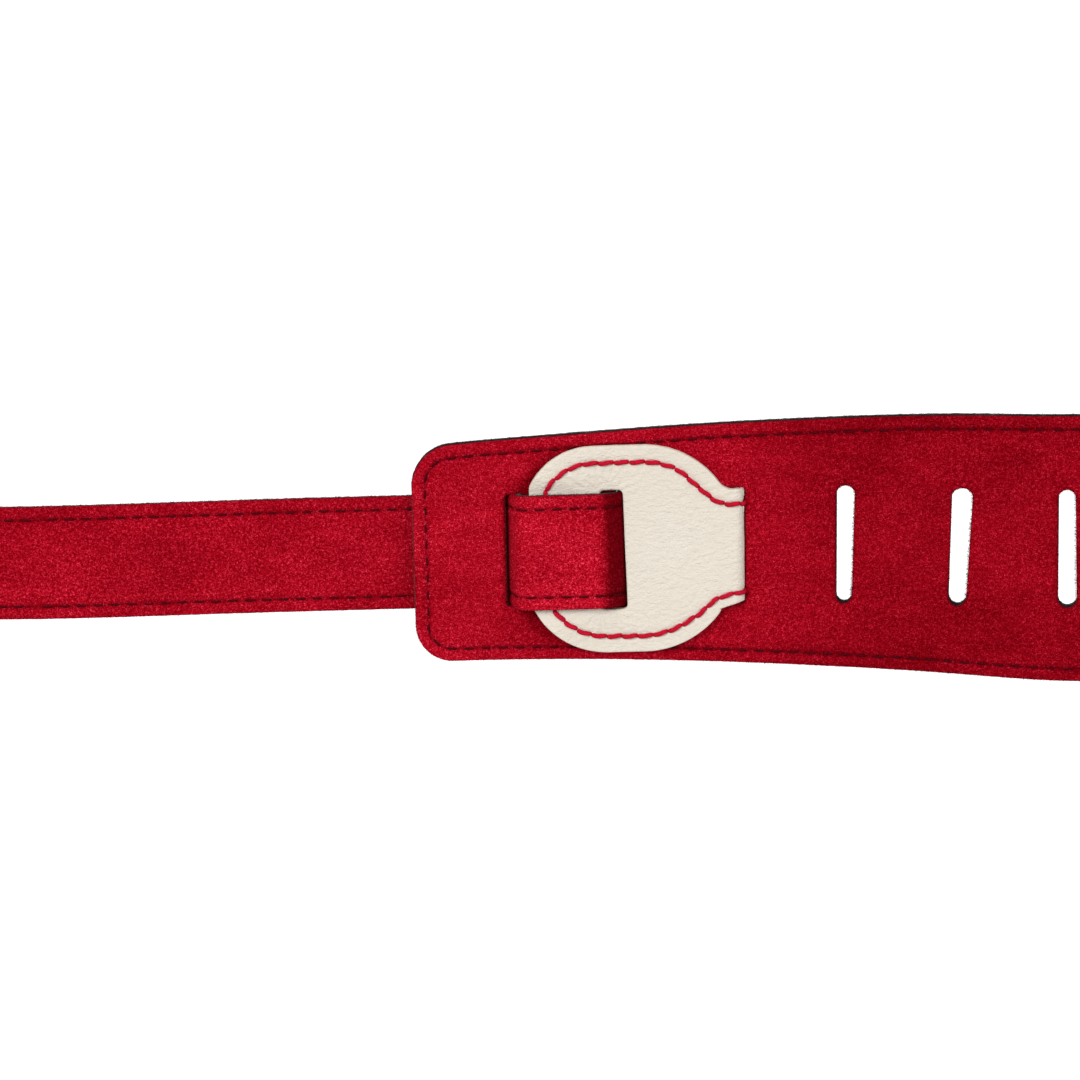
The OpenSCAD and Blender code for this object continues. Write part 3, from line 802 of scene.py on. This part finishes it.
def band_edge(i, inset=0.0):
    """The real edges of one piece of the band, with the suede on their left, or its seam's line."""
    upper = band_upper(*BAND_SPANS[i], inset)
    lower = upper * [1, -1]
    if i == 0:
        return [worn(np.vstack([upper[::-1], lower]))]
    if i == 2:
        return [np.vstack([lower, upper[::-1]])]
    return [lower, upper[::-1]]


def seam_distance(u, v, lines):
    return distances(np.stack([u, v], axis=1), np.vstack([spaced(l, 0.3) for l in lines]))


def along_seam(lines, depth, reach):
    """A height of that depth on the seam lines, which fades out to each side of them."""
    return lambda u, v: depth * np.exp(-((seam_distance(u, v, lines) / reach) ** 2))


def band_relief(lines, slots):
    """The face sinks along the seam, is pressed down round the slots and is a little uneven."""

    def relief(u, v):
        seam = along_seam(lines, -0.34, 0.62)(u, v)
        hole = distances(np.stack([u, v], axis=1), np.vstack(slots)) if slots else 50 + 0 * u
        return seam - 0.22 * np.exp(-hole / 1.0) + 0.05 * noise(u, v, 5, 11) + 0.04 * noise(u, v, 1.9, 12)

    return relief


def brushing(u, v):
    """Which way the suede was last brushed: lighter one way and darker the other.

    The dark rim round the lock tab's rear stands in for the tab's shadow, and stays there at every pose."""
    centre = HEAD_REAR_ARCS[-1]
    rear = np.hypot(u - SLOT_C - centre[0], np.maximum(0, np.abs(v) - centre[1])) - (HEAD_HALF - centre[1])
    # Painted shadow of the lock tab: a dark rim round its rear.
    painted_shade = 1.15 * np.exp(-((rear / 3.0) ** 2)) * smooth((SLOT_B - 12 - u) / 14)
    return (0.66 - 0.5 * smooth((u - 55) / 60) - painted_shade
            + 0.1 * noise(u, v, 45, 81) + 0.12 * noise(u, v, 16, 82))


def band_shade(lines):
    def shade(u, v, gap):
        seam = along_seam(lines, 0.5, 0.55)(u, v)
        return np.clip(seam + 0.3 * np.exp(-gap / 0.3), 0, 0.9)

    return shade


def build_band():
    for i, (a, b) in enumerate(BAND_SPANS):
        cuts = [c for c in (a, b) if 0 < c < BAND_LENGTH]
        seams = band_edge(i, SEAM_INSET)
        loops = band_loops(i)
        slots = loops[1:]
        on_core = band_place(BACKING_T + CORE_T)
        face = ply(f"band_face_{i + 1}", loops, cuts, on_core, FACE_T, SUEDE, guides=seams,
                   relief=band_relief(seams, slots), shade=band_shade(seams), rim=(0.5, 0.1), nap=brushing)
        core_loops = band_loops(i, 0.5, 0.25, high=BAND_LENGTH - TONGUE - 1 if i == 2 else None)
        if i == 0:
            core_loops[0][:, 0] = np.maximum(core_loops[0][:, 0], 0.5)
        core = ply(f"band_core_{i + 1}", core_loops, cuts, band_place(BACKING_T), CORE_T, CORE,
                   near_step=4, far_step=7, rim=(0, 0))
        back = ply(f"band_backing_{i + 1}", band_loops(i, -0.25, shift=0.35), cuts, band_place(0), BACKING_T,
                   BACKING, guides=seams, under=along_seam(seams, 0.3, 0.6), rim=(0.15, 0.4),
                   near_step=2.2, rough=0.12)
        top = stitches(f"band_seam_{i + 1}", seams, band_place(0), lambda u, v: BAND_T - 0.22, SEAM,
                       SEAM_PITCH, SEAM_STITCH, 0.52, 0.3, 0.5)
        under = stitches(f"band_bobbin_seam_{i + 1}", seams, lambda u, v, h: band_place(0)(u, v, -h),
                         lambda u, v: -0.24, SEAM, SEAM_PITCH, SEAM_STITCH, 0.5, 0.28, 0.4)
        edges = band_edge(i) + slots[3:6]  # none in the slots filled at rest or at the slide's limit
        fray = fuzz(f"band_backing_fuzz_{i + 1}", edges, band_place(0), BACKING,
                    11 if i == 0 else 4, 0.75, (0.1, 2.2), 5 + i)
        nap = fuzz(f"band_face_nap_{i + 1}", edges, on_core, SUEDE,
                   9 if i == 0 else 3, 0.38, (0.1, 1.0), 15 + i)
        for obj, kind in ((face, "face"), (core, "core"), (back, "backing"), (top, "thread")):
            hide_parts(*[f"{node}_{kind}" for node in BAND_NODES[i]])
        for obj in (face, core, back):
            lay(obj)
        for obj in (face, core, back, top, under, fray, nap):
            bend_band(obj, i)


# ---------------------------------------------------------------- the tail


def tail_upper(i, inset=0.0):
    if i == 0:
        return np.array([[TAIL_CUT, TAIL_HALF - inset], [TAIL_END_U, TAIL_HALF - inset]])
    corner = arc((-TAIL_LENGTH + 4, TAIL_HALF - 4), 4 - inset, 180, 90)
    return np.vstack([corner, [[TAIL_CUT, TAIL_HALF - inset]]])


def tail_loop(i, inset=0.0):
    upper = spaced(tail_upper(i, inset), 0.55 if i == 0 else 1.0)
    return [spaced(mirrored(upper), 0.55 if i == 0 else 1.0, closed=True)]


def tail_seam_lines(i):
    y = TAIL_HALF - TAIL_SEAM_INSET
    if i == 0:
        return [np.array([[TAIL_CUT, -y], [LAP_U - 1, -y]]), np.array([[LAP_U - 1, y], [TAIL_CUT, y]])]
    left = -TAIL_LENGTH + TAIL_SEAM_INSET
    return [np.array([[TAIL_CUT, y], [left, y], [left, -y], [TAIL_CUT, -y]])]


def tail_brushing(u, v):
    """The bridge is lighter, and from where the suede turns down into the window it is darkened with painted
    shade.
    """
    bridge = 0.32 * smooth((u - BRIDGE_U[0] + 6) / 10) - 1.9 * smooth((u - BRIDGE_U[1] + 3.5) / 6)
    return 0.56 + bridge + 0.1 * noise(u, v, 40, 83) + 0.14 * noise(u, v, 13, 84)


def build_tail():
    kinds = (("tail_weave_{}", "tail_mid_{}"), ("tail_end_{}",))
    for i in range(2):
        cuts = [TAIL_CUT]
        fine = [spaced(line, 0.6) for line in tail_seam_lines(i)]
        loops = tail_loop(i)

        def relief(u, v, s=fine):
            uneven = 0.05 * noise(u, v, 4, 21) + 0.04 * noise(u, v, 1.8, 22)
            return uneven - along_seam(s, 0.3, 0.6)(u, v)

        def shade(u, v, gap, s=fine):
            seam = along_seam(s, 0.45, 0.5)(u, v)
            # Painted shade where the bridge turns down into the window.
            painted_shade = 0.4 * smooth((u - BRIDGE_U[1] + 3.5) / 4) * smooth((BRIDGE_U[1] + 9 - u) / 3)
            return np.clip(seam + painted_shade + 0.3 * np.exp(-gap / 0.3), 0, 0.9)

        on_tape = tail_place(TAIL_BACKING_T + TAIL_TAPE_T)
        face = ply(f"tail_face_{i + 1}", loops, cuts, on_tape, TAIL_FACE_T, SUEDE, guides=fine,
                   relief=relief, shade=shade, rim=(0.4, 0.08), near_step=0.9, nap=tail_brushing)
        tape_loops = tail_loop(i, 0.4)
        if i == 1:
            tape_loops[0][:, 0] = np.maximum(tape_loops[0][:, 0], -TAIL_LENGTH + TONGUE + 1)
        tape = ply(f"tail_tape_{i + 1}", tape_loops, cuts, tail_place(TAIL_BACKING_T), TAIL_TAPE_T, CORE,
                   rim=(0, 0), near_step=1.2, far_step=6)
        back = ply(f"tail_backing_{i + 1}", loops, cuts, tail_place(0), TAIL_BACKING_T, BACKING,
                   guides=fine, rim=(0.1, 0.3), near_step=1.2, rough=0.1, under=along_seam(fine, 0.25, 0.5))
        seams = tail_seam_lines(i)
        top = stitches(f"tail_seam_{i + 1}", seams, tail_place(0), lambda u, v: TAIL_T - 0.2, SEAM,
                       SEAM_PITCH, SEAM_STITCH, 0.5, 0.28, 0.4)
        under = stitches(f"tail_bobbin_seam_{i + 1}", seams, lambda u, v, h: tail_place(0)(u, v, -h),
                         lambda u, v: -0.2, SEAM, SEAM_PITCH, SEAM_STITCH, 0.5, 0.26, 0.3)
        upper = spaced(tail_upper(i), 0.5)
        edges = [upper[::-1], upper * [1, -1]]
        fray = fuzz(f"tail_backing_fuzz_{i + 1}", edges, tail_place(0), BACKING,
                    10 if i == 0 else 4, 0.5, (0.1, 1.3), 31 + i)
        nap = fuzz(f"tail_face_nap_{i + 1}", edges, on_tape, SUEDE,
                   8 if i == 0 else 3, 0.3, (0.1, 0.85), 41 + i)
        for obj, kind in ((face, "face"), (tape, "tape"), (back, "backing"), (top, "thread")):
            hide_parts(*[n.format(kind) for n in kinds[i]])
        for obj in (face, tape, back):
            lay(obj)
        for obj in (face, tape, back, top, under, fray, nap):
            bend_tail(obj, i)


# ---------------------------------------------------------------- the lock tab


def head_edge(total, side, inset=0.0):
    """Half of the lock tab's edge, from the head's far end to the end of its neck. side is 1 or -1."""
    at = SLOT_C - HEAD_LEFT
    left = -at + inset
    centre = HEAD_REAR_ARCS[side]
    r = HEAD_HALF - centre[1] - inset
    start = math.degrees(math.acos((centre[0] - left) / r))
    rear = arc(centre, r, 180 - start, 90, 0.5)
    if inset:
        neck = ((-9.8, 16.2), (-6.0, 12.8), (-4.2, 11.8), (-2.2, 11.45), (0.0, 11.4)) if side > 0 else (
            (-10.0, 17.6), (-5.7, 13.9), (-3.4, 12.8), (0.0, 12.0))
    else:
        neck = ((-2.9, 15.75), (-1.6, 15.2)) if side > 0 else ((-4.2, 16.2), (1.0, 14.5))
    front = arc(HEAD_FRONT_ARC, HEAD_HALF - HEAD_FRONT_ARC[1] - inset, 90, 60.0 if inset else 34.5, 0.5)
    line = np.vstack([rear, front, neck, [[total - at, neck[-1][1]]]])
    return (line + [at, 0]) * [1, side]


def head_loop(total, step):
    upper, lower = (spaced(head_edge(total, side), 0.5) for side in (1, -1))
    return spaced(np.vstack([lower, upper[::-1]]), step, closed=True)


def window_loop(right_top, right_bottom):
    """The window's outline, clockwise, in the flat pattern."""
    left, top, bottom = WINDOW_LEFT - HEAD_LEFT, right_top - HEAD_LEFT, right_bottom - HEAD_LEFT
    half, r = WINDOW_HALF, 1.2
    corners = [((left + r, half - r), 180), ((top - r, half - r), 90), ((bottom - r, -half + r), 0),
               ((left + r, -half + r), -90)]
    return spaced(np.vstack([arc(c, r, a, a - 90, 0.3) for c, a in corners]), 0.4, closed=True)


def lock_relief(window):
    """Fine puckers that fan out from the window's corners, where the tail pulls on the leather."""

    def relief(u, v):
        out = 0 * u
        corner_u = WINDOW_RIGHT_TOP - HEAD_LEFT - 5.2
        for side in (1, -1):
            du, dv = u - corner_u, (v - side * (WINDOW_HALF - 1.5)) * side
            far = np.hypot(du, dv)
            angle = np.arctan2(dv, -du)
            fan = np.sin(angle * 21 + 2.6 * noise(u, v, 3.0, 61 + side)) * np.exp(-(((far - 4.5) / 5.0) ** 2))
            out += 0.13 * fan * smooth((dv - 1.0) / 1.5)
        hole = distances(np.stack([u, v], axis=1), window)
        return out - 0.16 * np.exp(-hole / 0.7) + 0.09 * noise(u, v, 9, 62) + 0.03 * noise(u, v, 1.6, 63)

    return relief


def lock_place(fold, leans):
    """Where a lock tab ply lies. Its window's edge leans with the tail that goes down beside it."""

    def place(u, v, h):
        s, z = fold.at(u, (h - PLY_T / 2))
        at = WINDOW_RIGHT_TOP - HEAD_LEFT + (WINDOW_RIGHT_BOTTOM - WINDOW_RIGHT_TOP) * (WINDOW_HALF - v) / (
            2 * WINDOW_HALF)
        near = np.exp(-np.maximum(0, u - at) / 1.2) * (u > at - 1) * smooth((WINDOW_HALF + 2 - np.abs(v)) / 2)
        lifted = HEAD_LIFT * smooth((np.abs(v) - TAIL_HALF + 1) / 6) * smooth((24 - u) / 19)
        return to_frame(s + leans * near * (PLY_T - h), v, z + lifted)

    return place


def cream_stitches(prefix, seam, place, around, steps):
    """The thick red stitches of a leather tab."""
    return stitches(f"{prefix}_thick_stitches", seam, place, lambda u, v: PLY_T - 0.16, RED_THREAD,
                    LOCK_PITCH, LOCK_STITCH, 1.2, 0.8, 0.2, lobes=3, lean=0.34,
                    around=around, steps=steps, fullness=5.5)


def build_lock_tab():
    outer = lock_fold(PLY_T / 2, PLY_T / 2)
    inner = lock_fold(-PLY_T / 2, 2.5 + PLY_T / 2)
    total = float(outer.u[-1]) - 0.2
    front_window = window_loop(WINDOW_RIGHT_TOP, WINDOW_RIGHT_BOTTOM)
    lining_window = window_loop(SLOT_B + 0.4, SLOT_B + 0.5)
    front_loop, lining_loop = head_loop(total, 0.5), head_loop(float(inner.u[-1]) - 0.2, 0.6)

    def shade(u, v, gap):
        hole = distances(np.stack([u, v], axis=1), front_window)
        return np.clip(0.35 * np.exp(-gap / 0.12) + 0.6 * np.exp(-hole / 0.2), 0, 0.9)

    upper, lower = (head_edge(SLOT_C - HEAD_LEFT + SEAM_PAST_NECK, side, LOCK_SEAM_INSET) for side in (1, -1))
    seam = [np.vstack([upper[::-1], lower])]
    dent = [spaced(line, 0.5) for line in seam]
    fan = lock_relief(front_window)

    def relief(u, v):
        return fan(u, v) - along_seam(dent, 0.28, 0.75)(u, v)

    front = ply("lock_tab_front_leather", [front_loop, front_window], [], lock_place(outer, 0.42), PLY_T,
                CREAM, guides=dent, relief=relief, shade=shade, rim=(0.3, 0.05),
                near_step=0.5, rough=0.03)
    lining = ply("lock_tab_lining_leather", [lining_loop, lining_window], [], lock_place(inner, 0.0), PLY_T,
                 LINING, shade=shade, rim=(0.05, 0.2), near_step=1.1, rough=0.04)
    sewn = cream_stitches("lock_tab", seam, lock_place(outer, 0.0), 14, 15)
    join_tab("lock_tab", front, lining, sewn, "tail_weave")


# ---------------------------------------------------------------- the button tabs


def build_button_tab(prefix, half, tip, root, direction, middle, thinning, outside, body):
    """Two plies with a keyhole. u runs from the tip towards the strap; direction points to the tip."""
    length = abs(tip - root) + TONGUE
    upper = np.vstack([arc((half, 0), half, 180, 90), [[length, half - 0.4]]])
    outline = spaced(mirrored(spaced(upper, 0.8)), 0.8, closed=True)
    hole = arc((HOLE_SETBACK, 0), HOLE_R, -6, -354, 0.45)
    slit_end = HOLE_SETBACK + HOLE_R + SLIT_LENGTH
    slit = [[slit_end, SLIT_HALF], [slit_end + 0.4, 0], [slit_end, -SLIT_HALF]]
    keyhole = spaced(np.vstack([hole, slit]), 0.45, closed=True)
    area = np.sum(keyhole[:, 0] * np.roll(keyhole[:, 1], -1) - np.roll(keyhole[:, 0], -1) * keyhole[:, 1])
    if area > 0:
        keyhole = keyhole[::-1]
    outline = outline if direction < 0 else outline * [1, -1]
    outline = outline if direction < 0 else outline[::-1]

    def place(low):
        def put(u, v, h):
            s = tip - direction * u
            k = thinning + (1 - thinning) * smooth((outside(s, v) + 0.2) / 1.6)
            return to_frame(s, v if direction < 0 else -v, middle + (low + h) * k)

        return put

    def shade(u, v, gap):
        return np.clip(0.5 * np.exp(-gap / 0.18), 0, 0.6)

    seam_upper = np.vstack([arc((half, 0), half - LOCK_SEAM_INSET, 180, 90),
                            [[abs(tip - root) - 3.5, half - LOCK_SEAM_INSET]]])
    seam = [np.vstack([seam_upper[::-1], seam_upper * [1, -1]])]
    dent = [spaced(seam[0], 0.5)]
    front = ply(f"{prefix}_front_leather", [outline, keyhole], [], place(0), PLY_T, CREAM,
                guides=dent, rim=(0.3, 0.05), near_step=1.1, far_step=1.1, shade=shade, rough=0.03,
                relief=lambda u, v: 0.05 * noise(u, v, 6, 71) - along_seam(dent, 0.28, 0.75)(u, v))
    lining = ply(f"{prefix}_lining_leather", [outline, keyhole], [], place(-PLY_T), PLY_T, LINING,
                 rim=(0.05, 0.25), near_step=1.4, far_step=1.4, shade=shade, rough=0.04)
    sewn = cream_stitches(prefix, seam, place(0), 12, 13)
    join_tab(prefix, front, lining, sewn, body)


def build_button_tabs():
    centre = BAND_LENGTH - BUTTON_HALF
    past_round_end = lambda s, v: np.where(s > centre, np.hypot(s - centre, v) - BUTTON_HALF, -5.0)
    build_button_tab("band_tab", BAND_TAB_HALF, BAND_TAB_TIP, BAND_LENGTH, 1, 1.9, 0.36, past_round_end,
                     "band_rear")
    build_button_tab("tail_tab", TAIL_TAB_HALF, TAIL_TAB_TIP, -TAIL_LENGTH, -1, 1.2, 0.17,
                     lambda s, v: -TAIL_LENGTH - s, "tail_end")


# ---------------------------------------------------------------- the studio


def build_camera():
    """Nearly overhead, leaning towards +Y, with a long lens."""
    tilt, pan, roll, distance = (math.radians(12), math.radians(1.87), math.radians(-1.21), 779.0)
    back = Vector((math.sin(pan) * math.cos(tilt), math.sin(tilt), math.cos(tilt) * math.cos(pan)))
    back.normalize()
    right = Vector((0, 1, 0)).cross(back).normalized()
    up = back.cross(right)
    right, up = (math.cos(roll) * right + math.sin(roll) * up, math.cos(roll) * up - math.sin(roll) * right)
    target = Vector(((32.73 - ORIGIN_S) * MM, 3.02 * MM, 5 * MM))
    data = bpy.data.cameras.new("camera")
    data.lens, data.sensor_width = 100, 36
    data.clip_start, data.clip_end = 0.01, 50
    camera = bpy.data.objects.new("camera", data)
    place = target + back * distance * MM
    camera.matrix_world = Matrix(((right.x, up.x, back.x, place.x), (right.y, up.y, back.y, place.y),
                                  (right.z, up.z, back.z, place.z), (0, 0, 0, 1)))
    bpy.context.scene.collection.objects.link(camera)
    bpy.context.scene.camera = camera


def build_studio():
    scene = bpy.context.scene
    scene.view_settings.view_transform = "Standard"
    world = bpy.data.worlds.new("studio")
    world.use_nodes = True
    nodes, links = world.node_tree.nodes, world.node_tree.links
    where, split = nodes.new("ShaderNodeTexCoord"), nodes.new("ShaderNodeSeparateXYZ")
    ramp = nodes.new("ShaderNodeValToRGB")
    ramp.color_ramp.elements[0].color = (1, 1, 1, 1)
    ramp.color_ramp.elements[1].color = (0.6, 0.6, 0.6, 1)
    ramp.color_ramp.elements[1].position = 0.5
    links.new(where.outputs["Generated"], split.inputs[0])
    links.new(split.outputs["Z"], ramp.inputs["Fac"])
    links.new(ramp.outputs["Color"], nodes["Background"].inputs["Color"])
    scene.world = world
    bpy.ops.mesh.primitive_plane_add(size=400, location=(0, 0, FLOOR_Z))
    floor = bpy.context.object
    floor.name = "floor"
    paper = bpy.data.materials.new("white paper")
    paper.use_nodes = True
    paper.node_tree.nodes["Principled BSDF"].inputs["Base Color"].default_value = (0.93, 0.93, 0.93, 1)
    paper.node_tree.nodes["Principled BSDF"].inputs["Roughness"].default_value = 0.9
    floor.data.materials.append(paper)
    floor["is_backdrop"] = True
    for name, strength, spread, aim in (("soft key", 2.25, 30, (0.46, -0.52, -0.78)),
                                        ("soft fill", 0.9, 40, (-0.62, -0.10, -0.78))):
        data = bpy.data.lights.new(name, "SUN")
        data.energy, data.angle = strength, math.radians(spread)
        light = bpy.data.objects.new(name, data)
        light.rotation_mode = "QUATERNION"
        light.rotation_quaternion = Vector(aim).to_track_quat("-Z", "Y")
        scene.collection.objects.link(light)


build_camera()
build_studio()
build_band()
build_tail()
build_lock_tab()
build_button_tabs()
{"cad": [list(corner) for corner in CAD_BOX], "visual": [list(corner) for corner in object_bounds()]}
